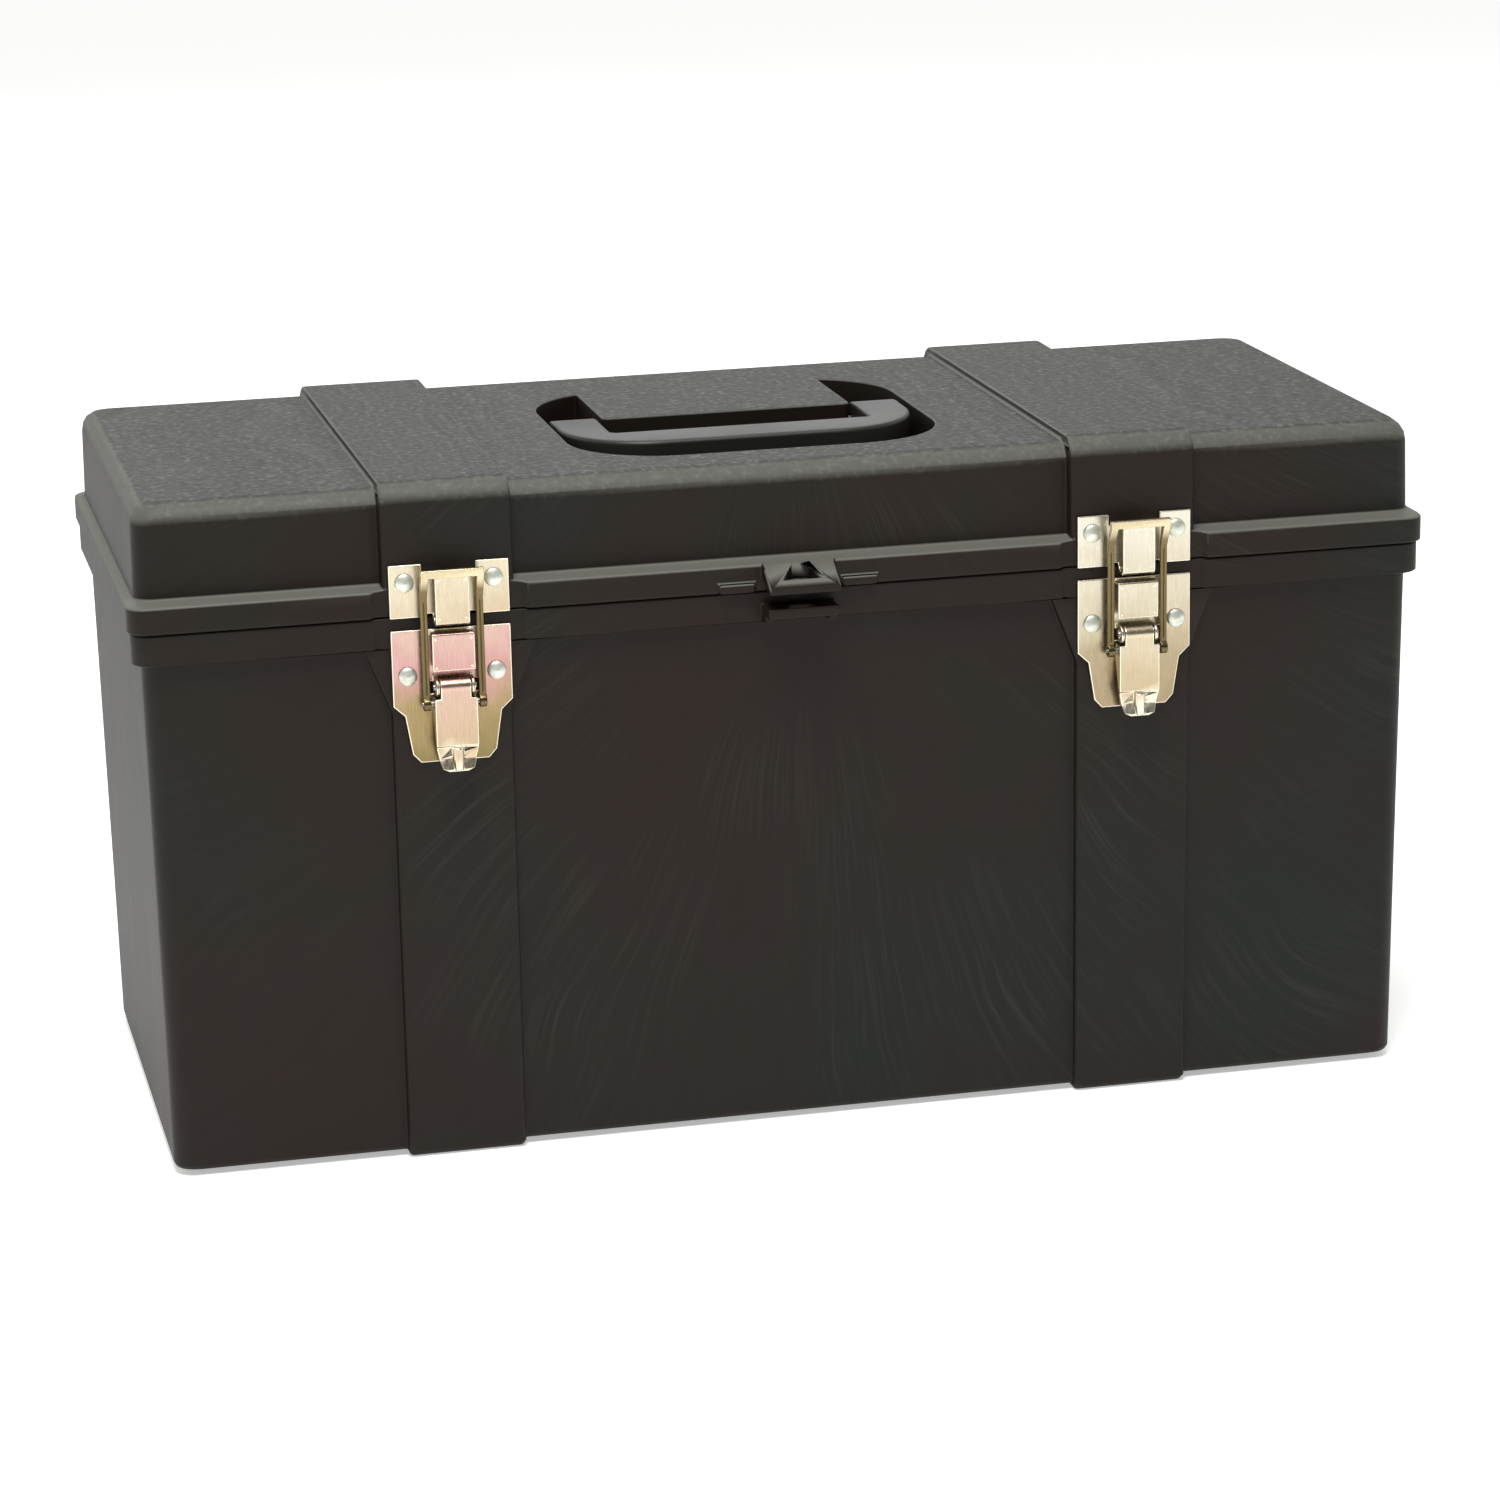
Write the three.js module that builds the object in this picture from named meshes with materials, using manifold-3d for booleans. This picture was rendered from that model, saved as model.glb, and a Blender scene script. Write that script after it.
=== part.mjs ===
// A 20-inch structural-foam tool box: a body shell, a lid on two steel hinge pins, a lift-out tray,
// a folding carry handle in the lid and two riveted draw latches. Millimetres, +Z up, the front
// towards -Y, the origin on the floor under the middle of the whole box.
import * as THREE from "three";
import { mergeVertices } from "three/addons/utils/BufferGeometryUtils.js";
import Module from "manifold-3d";

const wasm = await Module();
wasm.setup();

// Overall sizes
const rimLength = 508; // over the lid flange, along X
const rimWidth = 219; // over the lid flange, along Y
const bodyDepth = 213; // from the body's underside to the parting plane
const lidDepth = 47.6; // from the parting plane to the lid's top
const footDrop = 2; // the bands reach this far below the underside
const gap = 0.3; // between pieces that rest on each other

// Walls of the two shells
const wall = 5;
const cornerRadius = 8;
const bodyDraft = 2.3; // how far the body's walls lean in, rim to bottom
const bodyInset = 4.8; // the body's wall behind the lid flange, at the rim
const rimHeight = 12;
const rimInset = 1.2;
const rimEdge = 0.6; // chamfer under the rim
const flangeHeight = 12;
const flangeRound = 1.2; // rounding of the flange's top edge
const flangeSlope = 1.2; // the ledge on the flange rises this much towards the crown
const lidEndInset = 3.4;
const lidSideInset = 7.2;
const lidDraft = 0.6;
const lidFillet = 8.5; // along the lid's long edges
const lidEndFillet = 6.5; // along its ends
const bottomFillet = 2.5;
const lipDepth = 4; // the lid's locating lip, inside the body's rim
const lipThickness = 2.4;
const lipClearance = 0.7;
const lipRoot = 3; // the lip runs this far up into the lid
const lidStraight = 6; // the lid's inner wall rises straight to this height above the parting plane,
const lidStep = 5; // then steps out to the crown over this height
const ceilingChamfer = 4; // in the corner under the lid's top

// Bands: raised straps round the body and the lid
const bandSpacing = 268; // between the middles of the two bands
const bandWidth = 46;
const lidBandWidth = 50;
const bandInset = 2; // the bands' front plane behind the lid flange
const bandProud = 3; // above the lid's top, and off the body's wall at the bottom
const bandFlare = 10; // how much wider a band is, each side, just under the rim
const bandFlareDepth = 26;
const bandEdge = 1.8; // rounding of a band's upright edges
const bandFoot = 0.6; // chamfer round the foot of a band
const bandUpright = 6; // the body band stays upright this far below the latch
const notchMargin = 3; // the rim is cut back this far past the band's edge

// Hinge
const knuckleRadius = 5.5;
const knuckleLength = 15;
const knuckleGap = 0.5;
const hingePinRadius = 2;
const pinClearance = 0.35;
const knuckleClearance = 0.6;

// Carry handle and its recess in the lid
const handleLength = 143;
const handleSlot = 104; // between the arms
const gripWidth = 22;
const gripThickness = 12;
const gripCorner = 36;
const handleReach = 53; // from the pivot to the front of the grip
const handleRound = 1.8;
const handleFlush = 0.5; // the grip's top below the lid's top
const heelFlush = 0.9; // the pivot heel's top below the lid's top
const handlePinRadius = 3;
const slotChamfer = 1.5; // where the grip meets the arms
const armRelief = 0.5; // the arms are this much thinner than the grip's end, each
const armGap = 1; // between an arm and the platform that the handle folds round
const endGap = 2; // between an arm and the end of the recess
const cornerGap = 2; // the recess's corner radius over the grip's
const underGrip = 5.5; // under the grip, for the fingertips
const fingerTrough = 31; // in front of the grip
const platformLead = 5; // the platform reaches this far in front of the pivot
const recessFront = 28.5; // from the lid wall's front face, at the top
const recessBack = 38;
const tubWall = 4;
const platformWall = 5;
const pinInPlatform = 3.5;
const pinInWall = 2.5;

// Tray
const trayDepth = 48;
const trayWall = 2.5;
const trayRim = 9; // width of the rim that hangs on the ledges
const trayRimThickness = 3;
const trayClearance = 5; // between the tray's rim and the body's wall
const trayDrop = 9; // tray's top below the parting plane
const trayTaper = 4; // how far its walls lean in, top to bottom
const trayCorner = 7;
const longDividerDrop = 4; // dividers' tops below the tray's
const shortDividerDrop = 8;
const ledgeWidth = 11;
const ledgeDepth = 10;
const ledgeLength = 120;
const dividerOffset = 16; // the long divider, behind the tray's middle
const trayGripLength = 118;
const trayGripRise = 12; // above the tray's top
const trayGripHole = 28; // height of the finger hole
const trayGripThickness = 5;
const trayGripBar = 8;
const trayGripShoulder = 12;
const trayGripCheek = 13; // beside the finger hole

// Draw latches: u is the distance outwards from the band's face, z is from the parting plane
const plateThickness = 1.2;
const plateHalfWidth = 22.8;
const keeperTop = 20.2;
const keeperBottom = -0.2;
const earInner = 10.2;
const tongueOut = 8;
const tongueTop = 17;
const strapTop = 16; // the keeper's strap, between its ears
const strapBottom = 1;
const tongueBottom = -3;
const baseTop = -4.9;
const shoulderZ = -34; // below this height the base tapers
const shoulder = 18.5;
const foot = 13;
const baseBottom = -56.4;
const bridgeOut = 7;
const bridgeTop = -5.6;
const bridgeBottom = -20.2;
const leverPivot = { u: 6, z: -26.4 };
const leverPinRadius = 1.6;
const barrelRadius = 3.2;
const barrelHalfWidth = 5.8;
const leverHalfWidth = 8.1;
const leverSheet = 1.4;
const leverFlange = 1; // thickness of its turned-back sides
const leverEnd = -49;
const fingerEnd = -58.8;
const fingerHalfWidth = 8; // at its top
const fingerTipHalf = 6;
const fingerRidge = 2.2; // radius of the rib down the finger tip
const bailPivot = { u: 5, z: -32.9 };
const bailPinRadius = 1.2;
const bailSheet = 1.4;
const bailSide = 1.1; // between the bail's side and the lever
const bailLegWidth = 2.8;
const bailEye = 2.5; // radius of the eye rolled round the bail's pin
const bailBend = 11; // the legs bend outwards over this height below their top
const crossbarThickness = 2.2;
const crossbarHeight = 3.2;
const crossbarOverTop = 2.4; // its top above the tongue's
const crossbarGap = 0.4; // between it and the tongue's face
const rivetShank = 2;
const rivetHead = 3.6;
const rivetHeight = 1.8;
const rivetTail = 3.3; // radius of the flat tail inside
const rivetTailHeight = 1.2;
const rivetX = 16.9;
const keeperRivetZ = 13.4;
const baseRivetZ = -22.5;

// Padlock eye
const eyeHalfWidth = 14;
const eyeOut = 12;
const eyeThickness = 3.5;
const eyeRoot = 2; // how far the lid's tab reaches back into the flange
const eyeBridge = 4; // material in front of the hole
const eyeHoleRoot = 1.6; // material behind it
const eyeHoleBack = 3.6; // half its width at the back
const eyeHoleFront = 7; // and at the front
const bodyTabDrop = 5; // the body's tab below the parting plane
const bodyTabThickness = 4;
const bodyTabRoot = 6;
const cheekWidth = 3; // the ribs under the body's tab
const cheekDepth = 2.5;
const stopOffset = 10; // two low stops on the flange, beside the tab
const stopHalfWidth = 7;
const stopOut = 1.6;
const stopHeight = 3.7;

// Heights and planes that follow from these
const partingZ = footDrop + bodyDepth;
const lidBottomZ = partingZ + gap;
const lidTopZ = partingZ + lidDepth;
const rimBottomZ = partingZ - rimHeight;
const flangeTopZ = partingZ + flangeHeight;
const bandPlane = rimWidth / 2 - bandInset; // distance of the bands' front and back planes from the middle
const bandX = bandSpacing / 2;
const hingeY = rimWidth / 2 + knuckleRadius + knuckleClearance;
const hingeZ = partingZ + gap / 2;
const tongueFace = tongueOut + crossbarGap;
const frontOut = Math.max(bandPlane + tongueFace + crossbarThickness, rimWidth / 2 + eyeOut);
const backOut = hingeY + knuckleRadius;

const finish = {
  foam: new THREE.MeshStandardMaterial({ color: 0x2d2a26, roughness: 0.62, metalness: 0 }),
  handle: new THREE.MeshStandardMaterial({ color: 0x2b2a28, roughness: 0.5, metalness: 0 }),
  tray: new THREE.MeshStandardMaterial({ color: 0x35332f, roughness: 0.55, metalness: 0 }),
  plated: new THREE.MeshStandardMaterial({ color: 0xc9b99b, roughness: 0.32, metalness: 1 }),
  rivet: new THREE.MeshStandardMaterial({ color: 0xc8cbc6, roughness: 0.35, metalness: 1 }),
  pin: new THREE.MeshStandardMaterial({ color: 0x9a9a98, roughness: 0.35, metalness: 1 }),
};

// ---- Solids from three.js geometry, joined and cut with manifold-3d ----

function solidOf(geometry) {
  geometry.deleteAttribute("normal");
  geometry.deleteAttribute("uv");
  const merged = mergeVertices(geometry, 1e-4);
  return new wasm.Manifold(
    new wasm.Mesh({
      numProp: 3,
      vertProperties: merged.attributes.position.array,
      triVerts: new Uint32Array(merged.index.array),
    }),
  );
}

function geometryOf(solid) {
  const mesh = solid.getMesh();
  return new THREE.BufferGeometry()
    .setAttribute("position", new THREE.BufferAttribute(mesh.vertProperties, 3))
    .setIndex(new THREE.BufferAttribute(mesh.triVerts, 1));
}

const union = (solids) => solids.reduce((a, b) => a.add(b));
const cut = (solid, tools) => tools.reduce((a, b) => a.subtract(b), solid);

// A box between two values on each axis.
function block([x0, x1], [y0, y1], [z0, z1]) {
  const cuboid = new THREE.BoxGeometry(x1 - x0, y1 - y0, z1 - z0);
  return solidOf(cuboid.translate((x0 + x1) / 2, (y0 + y1) / 2, (z0 + z1) / 2));
}

// A stretch of the X axis from a to b, on the side -1 or +1.
const spanOf = (side, a, b) => (side > 0 ? [a, b] : [-b, -a]);

// A round bar along X.
function bar(radius, [x0, x1], y, z, sides = 20) {
  const rod = new THREE.CylinderGeometry(radius, radius, x1 - x0, sides);
  return solidOf(rod.rotateZ(Math.PI / 2).translate((x0 + x1) / 2, y, z));
}

const shapeOf = (points) => new THREE.Shape(points.map(([a, b]) => new THREE.Vector2(a, b)));

// A shape in the XY plane, raised from z0 to z1.
function raised(shape, [z0, z1], curveSegments = 8) {
  const solid = new THREE.ExtrudeGeometry(shape, { depth: z1 - z0, bevelEnabled: false, curveSegments });
  return solidOf(solid.translate(0, 0, z0));
}

// A profile in the YZ plane, run along X from x0 to x1.
function run(profile, [x0, x1]) {
  const solid = new THREE.ExtrudeGeometry(shapeOf(profile), { depth: x1 - x0, bevelEnabled: false });
  const yzx = new THREE.Matrix4().set(0, 0, 1, 0, 1, 0, 0, 0, 0, 1, 0, 0, 0, 0, 0, 1);
  return solidOf(solid.applyMatrix4(yzx).translate(x0, 0, 0));
}

// A flat outline in the XZ plane, from u0 to u1 outwards (towards -Y).
function plate(outline, [u0, u1]) {
  const solid = new THREE.ExtrudeGeometry(shapeOf(outline), { depth: u1 - u0, bevelEnabled: false });
  return solidOf(solid.rotateX(Math.PI / 2).translate(0, -u0, 0));
}

// A rounded rectangle, middle on the origin.
function roundedRectangle(halfX, halfY, radius) {
  const shape = new THREE.Shape();
  shape.moveTo(halfX - radius, -halfY);
  shape.absarc(halfX - radius, radius - halfY, radius, -Math.PI / 2, 0);
  shape.absarc(halfX - radius, halfY - radius, radius, 0, Math.PI / 2);
  shape.absarc(radius - halfX, halfY - radius, radius, Math.PI / 2, Math.PI);
  shape.absarc(radius - halfX, radius - halfY, radius, Math.PI, 1.5 * Math.PI);
  return shape;
}

// A closed solid through rounded rectangles { z, x, y, r } (half sizes), the lowest first.
function loft(sections, cornerSteps = 6) {
  const rings = sections.map(({ x, y, r }) => {
    const ring = [];
    for (let corner = 0; corner < 4; corner++) {
      const middleX = (corner === 0 || corner === 3 ? 1 : -1) * (x - r);
      const middleY = (corner < 2 ? 1 : -1) * (y - r);
      for (let step = 0; step <= cornerSteps; step++) {
        const angle = ((corner + step / cornerSteps) * Math.PI) / 2;
        ring.push([middleX + r * Math.cos(angle), middleY + r * Math.sin(angle)]);
      }
    }
    return ring;
  });
  const count = rings[0].length;
  const points = rings.flatMap((ring, level) => ring.map(([x, y]) => [x, y, sections[level].z]));
  const faces = [];
  for (let level = 0; level + 1 < rings.length; level++)
    for (let i = 0; i < count; i++) {
      const a = level * count + i;
      const b = level * count + ((i + 1) % count);
      faces.push(a, b, b + count, a, b + count, a + count);
    }
  const low = points.push([0, 0, sections[0].z]) - 1;
  const high = points.push([0, 0, sections[sections.length - 1].z]) - 1;
  const last = (rings.length - 1) * count;
  for (let i = 0; i < count; i++) {
    const next = (i + 1) % count;
    faces.push(low, next, i, high, last + i, last + next);
  }
  const geometry = new THREE.BufferGeometry();
  geometry.setAttribute("position", new THREE.Float32BufferAttribute(points.flat(), 3));
  geometry.setIndex(faces);
  return solidOf(geometry);
}

// One section of a shell, set in from the lid flange's outline.
function inset(z, insetX, insetY = insetX, r = cornerRadius) {
  return { z, x: rimLength / 2 - insetX, y: rimWidth / 2 - insetY, r };
}

// Sections that round off an edge at height z: they shrink by up to radius on the way up.
function filletSections(z, radius, sectionAt, steps = 4) {
  return Array.from({ length: steps + 1 }, (_, step) => {
    const angle = ((step / steps) * Math.PI) / 2;
    return sectionAt(z - radius * (1 - Math.sin(angle)), radius * (1 - Math.cos(angle)));
  });
}

// ---- Features that both shells share ----

// The cut that takes the rim and flange back to the band's plane in front of a latch, its sides
// at 45 degrees.
function latchNotch() {
  const half = lidBandWidth / 2 + notchMargin;
  const far = rimWidth / 2 + 5;
  const spread = half + far - bandPlane;
  const outline = shapeOf([
    [-half, -bandPlane],
    [-spread, -far],
    [spread, -far],
    [half, -bandPlane],
  ]);
  return raised(outline, [rimBottomZ - 1, flangeTopZ + 1]);
}

const atBands = (solid) => [solid.translate([-bandX, 0, 0]), solid.translate([bandX, 0, 0])];

// Bores through a wall behind each latch for its rivets, at a height from the parting plane.
function rivetBores(z) {
  const bore = solidOf(
    new THREE.CylinderGeometry(rivetShank + pinClearance, rivetShank + pinClearance, 8 * wall, 14),
  );
  const inWall = bore.translate([0, -bandPlane, partingZ + z]);
  return [-rivetX, rivetX].flatMap((x) => atBands(inWall.translate([x, 0, 0])));
}

// One hinge knuckle, middle on the band, with a web to the shell above or below the parting plane.
function knuckle(x, above) {
  const span = [x - knuckleLength / 2, x + knuckleLength / 2];
  const web = above
    ? block(span, [bandPlane - 1, hingeY], [lidBottomZ, hingeZ + knuckleRadius])
    : block(span, [bandPlane - 1, hingeY], [hingeZ - knuckleRadius, partingZ]);
  return bar(knuckleRadius, span, hingeY, hingeZ, 24).add(web);
}

const knucklePitch = knuckleLength + knuckleGap;
const hingeBore = bar(
  hingePinRadius + pinClearance,
  [-2 * knucklePitch, 2 * knucklePitch],
  hingeY,
  hingeZ,
  16,
);

// ---- Body ----

function bodyShell() {
  const bottomInset = bodyInset + bodyDraft;
  const outer = loft([
    inset(footDrop, bottomInset + bottomFillet),
    inset(footDrop + 0.3 * bottomFillet, bottomInset + 0.3 * bottomFillet),
    inset(footDrop + bottomFillet, bottomInset),
    inset(partingZ - 1, bodyInset),
  ]);
  const rim = loft([
    inset(rimBottomZ, rimInset + rimEdge),
    inset(rimBottomZ + rimEdge, rimInset),
    inset(partingZ, rimInset),
  ]);
  const cavity = loft([
    inset(footDrop + wall, bottomInset + wall),
    inset(partingZ + 1, bodyInset + wall),
  ]);
  const ledgeX = rimLength / 2 - bodyInset - wall;
  const ledgeTop = partingZ - trayDrop - trayRimThickness - gap;
  const ledges = [-1, 1].map((side) => {
    const x = spanOf(side, ledgeX - ledgeWidth, ledgeX + wall / 2);
    return block(x, [-ledgeLength / 2, ledgeLength / 2], [ledgeTop - ledgeDepth, ledgeTop]);
  });
  let shell = union([outer, rim, ...atBands(bodyBand())]);
  shell = cut(shell, [cavity, ...atBands(latchNotch())]);
  shell = union([shell, ...ledges, bodyEye(), ...atBands(bodyKnuckles())]);
  shell = cut(shell, [...atBands(lidKnuckleRoom()), ...atBands(hingeBore), eyeHole(-12, 0)]);
  return cut(shell, rivetBores(baseRivetZ));
}

// A band on the body: upright behind the latch, then following the wall's lean, with its foot below.
function bodyBand() {
  const half = bandWidth / 2;
  const lowY = rimWidth / 2 - bodyInset - bodyDraft + bandProud;
  const latchFoot = partingZ + fingerEnd - bandUpright;
  const strap = loft(
    [
      { z: 0, x: half - bandFoot, y: lowY - bandProud, r: bandEdge },
      { z: bandProud - gap, x: half, y: lowY, r: bandEdge },
      { z: latchFoot, x: half, y: bandPlane, r: bandEdge },
      { z: partingZ, x: half, y: bandPlane, r: bandEdge },
    ],
    3,
  );
  const flareTop = rimBottomZ + 1;
  const flare = plate(
    [
      [-half, flareTop - bandFlareDepth],
      [half, flareTop - bandFlareDepth],
      [half + bandFlare, flareTop],
      [-half - bandFlare, flareTop],
    ],
    [gap - bandPlane, bandPlane - gap],
  );
  return strap.add(flare);
}

function bodyKnuckles() {
  return knuckle(-knucklePitch, false).add(knuckle(knucklePitch, false));
}

// Room in the body's rim for the lid's middle knuckle.
function lidKnuckleRoom() {
  const half = knuckleLength / 2 + knuckleGap;
  return bar(knuckleRadius + knuckleClearance, [-half, half], hingeY, hingeZ, 24);
}

// The body's half of the padlock eye: a level tab under the lid's.
function bodyEye() {
  const front = -rimWidth / 2;
  const top = partingZ - bodyTabDrop;
  const low = top - bodyTabThickness;
  const root = front + bodyTabRoot;
  const cheeks = [-1, 1].map((side) => {
    const span = spanOf(side, eyeHalfWidth - cheekWidth, eyeHalfWidth);
    return block(span, [front - eyeOut / 3, root], [low - cheekDepth, top]);
  });
  return union([block([-eyeHalfWidth, eyeHalfWidth], [front - eyeOut + 2, root], [low, top]), ...cheeks]);
}

// The padlock hole, wider towards the front.
function eyeHole(z0, z1) {
  const front = -rimWidth / 2;
  const outline = shapeOf([
    [-eyeHoleBack, front - eyeHoleRoot],
    [-eyeHoleFront, front - eyeOut + eyeBridge],
    [eyeHoleFront, front - eyeOut + eyeBridge],
    [eyeHoleBack, front - eyeHoleRoot],
  ]);
  return raised(outline, [partingZ + z0, partingZ + z1]);
}

// ---- Lid ----

function lidShell() {
  const flange = loft([
    inset(lidBottomZ, 0),
    ...filletSections(flangeTopZ - flangeSlope, flangeRound, (z, by) => inset(z, by), 3),
    inset(flangeTopZ, lidEndInset + 1, lidSideInset + 1),
  ]);
  const crown = loft([
    inset(lidBottomZ + 1, lidEndInset, lidSideInset),
    ...filletSections(lidTopZ, lidFillet, (z, by) => {
      const byEnd = (by * lidEndFillet) / lidFillet;
      return inset(z, lidEndInset + lidDraft + byEnd, lidSideInset + lidDraft + by);
    }),
  ]);
  const lipInset = bodyInset + wall + lipClearance;
  const lip = loft([inset(partingZ - lipDepth, lipInset), inset(lidBottomZ + lipRoot, lipInset)]);
  const lipInner = lipInset + lipThickness;
  const ceiling = lidTopZ - wall;
  const crownInner = (z, by) => inset(z, lidEndInset + wall + by, lidSideInset + wall + by);
  const cavity = loft([
    inset(partingZ - lipDepth - 1, lipInner),
    inset(partingZ + lidStraight, lipInner),
    crownInner(partingZ + lidStraight + lidStep, 0),
    crownInner(ceiling - ceilingChamfer, lidDraft),
    crownInner(ceiling, lidDraft + ceilingChamfer),
  ]);
  let shell = union([flange, crown, lip, ...atBands(lidBand())]);
  shell = cut(shell, [cavity, ...atBands(latchNotch())]);
  shell = union([shell, recessTub(), lidEye(), ...atBands(knuckle(0, true))]);
  const handleBores = [-1, 1].map((side) => handlePin(side, pinClearance, 0.4));
  shell = cut(shell, [handleRecess(), platformHollow(), ...handleBores, ...atBands(hingeBore)]);
  return cut(shell, [eyeHole(-2, 20), ...rivetBores(keeperRivetZ)]);
}

// A band over the lid: its top edge is rounded from front to back, its ends stay upright.
function lidBand() {
  const half = lidBandWidth / 2;
  const top = lidTopZ + bandProud;
  return loft(
    [
      { z: lidBottomZ, x: half, y: bandPlane, r: bandEdge },
      { z: flangeTopZ, x: half, y: bandPlane, r: bandEdge },
      ...filletSections(top, lidFillet, (z, by) => ({
        z,
        x: half - 0.12 * by,
        y: bandPlane - lidDraft - by,
        r: bandEdge,
      })),
    ],
    3,
  );
}

const recessHalfX = handleLength / 2 + endGap;
const recessY0 = -(rimWidth / 2 - lidSideInset - lidDraft) + recessFront;
const recessY1 = rimWidth / 2 - lidSideInset - lidDraft - recessBack;
const recessMiddleY = (recessY0 + recessY1) / 2;
const recessHalfY = (recessY1 - recessY0) / 2;
const recessCorner = gripCorner + cornerGap;
const recessFloorZ = lidTopZ - handleFlush - gripThickness - underGrip;
const heelRadius = (lidTopZ - heelFlush - recessFloorZ - gap) / 2;
const handleFrontY = recessY0 + fingerTrough;
const handlePivotY = handleFrontY + handleReach;
const handlePivotZ = lidTopZ - heelFlush - heelRadius;
const platformHalf = handleSlot / 2 - armGap;
const platformFrontY = handlePivotY - platformLead;

// The walls that carry the recess inside the lid.
function recessTub() {
  const tub = roundedRectangle(recessHalfX + tubWall, recessHalfY + tubWall, recessCorner + tubWall);
  const span = [recessFloorZ - tubWall, lidTopZ - 0.5];
  return raised(tub, span, 10).translate([0, recessMiddleY, 0]);
}

// The space that the handle lies in: a rounded rectangle round the raised platform.
function handleRecess() {
  const room = raised(
    roundedRectangle(recessHalfX, recessHalfY, recessCorner),
    [recessFloorZ, lidTopZ + 5],
    10,
  ).translate([0, recessMiddleY, 0]);
  const platform = roundedRectangle(platformHalf, recessHalfY, 3);
  const keep = raised(platform, [recessFloorZ - 1, lidTopZ + 6], 4);
  return room.subtract(keep.translate([0, platformFrontY + recessHalfY, 0]));
}

// The platform is hollow from below.
function platformHollow() {
  const half = platformHalf - pinInPlatform - platformWall / 2;
  const back = recessY1 - 1;
  return block([-half, half], [platformFrontY + platformWall, back], [partingZ, lidTopZ - wall]);
}

// The lid's half of the padlock eye: a tab that slopes down and out from the flange's top.
function lidEye() {
  const front = -rimWidth / 2;
  const low = lidBottomZ + 2 * gap;
  const tab = run(
    [
      [front + eyeRoot, flangeTopZ - flangeSlope],
      [front - eyeRoot / 2, flangeTopZ - flangeSlope],
      [front - eyeOut, lidBottomZ + eyeThickness],
      [front - eyeOut, low],
      [front - eyeOut + eyeThickness, low],
      [front + eyeRoot, flangeTopZ - 1.6 * eyeThickness],
    ],
    [-eyeHalfWidth, eyeHalfWidth],
  );
  const stops = [-1, 1].map((side) => {
    const middle = eyeHalfWidth + stopOffset;
    const span = spanOf(side, middle - stopHalfWidth, middle + stopHalfWidth);
    return block(span, [front - stopOut, front + eyeRoot], [lidBottomZ, lidBottomZ + stopHeight]);
  });
  return union([tab, ...stops]);
}

// ---- Handle ----

function carryHandle() {
  const half = handleLength / 2;
  const slotHalf = handleSlot / 2;
  const front = handleFrontY;
  const back = handlePivotY;
  const outline = new THREE.Shape();
  outline.moveTo(gripCorner - half, front);
  outline.lineTo(half - gripCorner, front);
  outline.absarc(half - gripCorner, front + gripCorner, gripCorner, -Math.PI / 2, 0);
  outline.lineTo(half, back);
  outline.lineTo(slotHalf + armRelief, back);
  outline.lineTo(slotHalf + armRelief, front + gripWidth + slotChamfer);
  outline.lineTo(slotHalf - slotChamfer, front + gripWidth);
  outline.lineTo(slotChamfer - slotHalf, front + gripWidth);
  outline.lineTo(-slotHalf - armRelief, front + gripWidth + slotChamfer);
  outline.lineTo(-slotHalf - armRelief, back);
  outline.lineTo(-half, back);
  outline.lineTo(-half, front + gripCorner);
  outline.absarc(gripCorner - half, front + gripCorner, gripCorner, Math.PI, 1.5 * Math.PI);
  const top = lidTopZ - handleFlush;
  const bend = new THREE.ExtrudeGeometry(outline, {
    depth: gripThickness - 2 * handleRound,
    bevelThickness: handleRound,
    bevelSize: handleRound,
    bevelOffset: -handleRound,
    bevelSegments: 2,
    curveSegments: 10,
  });
  const arms = solidOf(bend.translate(0, 0, top - gripThickness + handleRound));
  const heels = [-1, 1].map((side) => {
    const span = spanOf(side, slotHalf + armRelief + 0.1, half - 0.1);
    return bar(heelRadius, span, handlePivotY, handlePivotZ, 28);
  });
  const bores = [-1, 1].map((side) => handlePin(side, pinClearance, 5));
  return cut(union([arms, ...heels]), bores);
}

// A pivot pin from the platform's side, through the arm, to the recess's outer wall.
function handlePin(side, grow = 0, longer = 0) {
  const span = spanOf(side, platformHalf - pinInPlatform - longer, recessHalfX + pinInWall + longer);
  return bar(handlePinRadius + grow, span, handlePivotY, handlePivotZ, 20);
}

// ---- Tray ----

const trayTopZ = partingZ - trayDrop;

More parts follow.
